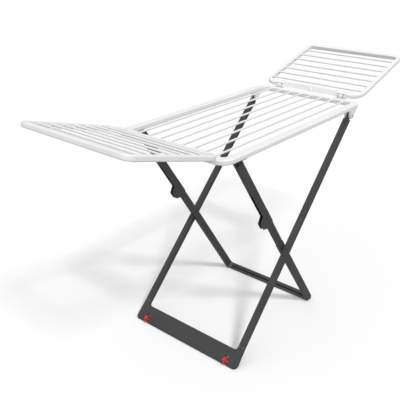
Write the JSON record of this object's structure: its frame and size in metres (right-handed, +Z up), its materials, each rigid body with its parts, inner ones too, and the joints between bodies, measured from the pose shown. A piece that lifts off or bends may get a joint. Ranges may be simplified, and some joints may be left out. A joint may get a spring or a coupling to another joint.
{
  "type": "clothes drying rack",
  "caption": "Winged clothes drying rack: a rod deck with two tilting rod wings on dark crossed legs that fold flat, with two wheels in one foot.",
  "frame": {"origin": "on the floor below the middle of the deck", "axes": "+Z up, +X along the deck towards the end that the wheeled outer frame is hinged to, -Y is the front side"},
  "size_m": [1.8726, 0.5664, 1.0695],
  "materials": {
    "white_plastic": "satin moulded plastic",
    "coated_rod": "smooth white coating on steel rod",
    "dark_plastic": "fine grained moulded plastic",
    "red_plastic": "semi gloss",
    "steel": "zinc plated"
  },
  "bodies": {
    "outer_frame": {"outer_leg_back": "dark_plastic", "outer_leg_front": "dark_plastic", "outer_foot": "dark_plastic", "wheel_axle_back": "steel", "wheel_axle_front": "steel", "crossing_pin_back": "dark_plastic", "crossing_pin_front": "dark_plastic"},
    "deck": {"deck_frame": "white_plastic", "deck_rod_1": "coated_rod", "deck_rod_2": "coated_rod", "deck_rod_3": "coated_rod", "deck_rod_4": "coated_rod", "deck_rod_5": "coated_rod", "deck_rod_6": "coated_rod", "deck_rod_7": "coated_rod", "deck_rod_8": "coated_rod", "link_bracket_back": "dark_plastic", "link_bracket_front": "dark_plastic", "outer_pivot_pin_back": "steel", "outer_pivot_pin_front": "steel", "upper_pivot_pin_back": "dark_plastic", "upper_pivot_pin_front": "dark_plastic", "left_hinge_pin_back": "steel", "left_hinge_pin_front": "steel", "right_hinge_pin_back": "steel", "right_hinge_pin_front": "steel"},
    "upper_links": {"upper_link_back": "dark_plastic", "upper_link_front": "dark_plastic", "knee_pin_back": "dark_plastic", "knee_pin_front": "dark_plastic"},
    "inner_frame": {"inner_leg_back": "dark_plastic", "inner_leg_front": "dark_plastic", "inner_foot_bar": "dark_plastic"},
    "left_wing": {"left_wing_frame": "white_plastic", "left_wing_rod_1": "coated_rod", "left_wing_rod_2": "coated_rod", "left_wing_rod_3": "coated_rod", "left_wing_rod_4": "coated_rod", "left_wing_rod_5": "coated_rod", "left_wing_rod_6": "coated_rod", "left_wing_rod_7": "coated_rod"},
    "right_wing": {"right_wing_frame": "white_plastic", "right_wing_rod_1": "coated_rod", "right_wing_rod_2": "coated_rod", "right_wing_rod_3": "coated_rod", "right_wing_rod_4": "coated_rod", "right_wing_rod_5": "coated_rod", "right_wing_rod_6": "coated_rod", "right_wing_rod_7": "coated_rod"},
    "wheel_back": {"wheel_back": "red_plastic"},
    "wheel_front": {"wheel_front": "red_plastic"}
  },
  "joints": [
    {"name": "deck_fold", "type": "hinge", "parent": "outer_frame", "child": "deck", "pos_m": [0.416, 0, 0.8794], "axis": [0, -1, 0], "range_deg": [0, 42.1]},
    {"name": "link_fold", "type": "hinge", "parent": "deck", "child": "upper_links", "pos_m": [-0.38628, 0, 0.886], "axis": [0, -1, 0], "range_deg": [0, 52.2]},
    {"name": "knee_fold", "type": "hinge", "parent": "upper_links", "child": "inner_frame", "pos_m": [-0.18033, 0, 0.58611], "axis": [0, 1, 0], "range_deg": [0, 168.3]},
    {"name": "left_wing_fold", "type": "hinge", "parent": "deck", "child": "left_wing", "pos_m": [-0.497, 0, 0.9352], "axis": [0, 1, 0], "range_deg": [0, 164]},
    {"name": "right_wing_fold", "type": "hinge", "parent": "deck", "child": "right_wing", "pos_m": [0.497, 0, 0.9352], "axis": [0, -1, 0], "range_deg": [0, 164]},
    {"name": "wheel_back_spin", "type": "hinge", "parent": "outer_frame", "child": "wheel_back", "pos_m": [-0.41912, 0.226, 0.01721], "axis": [0, 1, 0], "continuous": true},
    {"name": "wheel_front_spin", "type": "hinge", "parent": "outer_frame", "child": "wheel_front", "pos_m": [-0.41912, -0.226, 0.01721], "axis": [0, 1, 0], "continuous": true}
  ],
  "couplings": [
    {"joint": "link_fold", "follows": "deck_fold", "ratio": 1.2374},
    {"joint": "knee_fold", "follows": "deck_fold", "ratio": 3.9953}
  ]
}
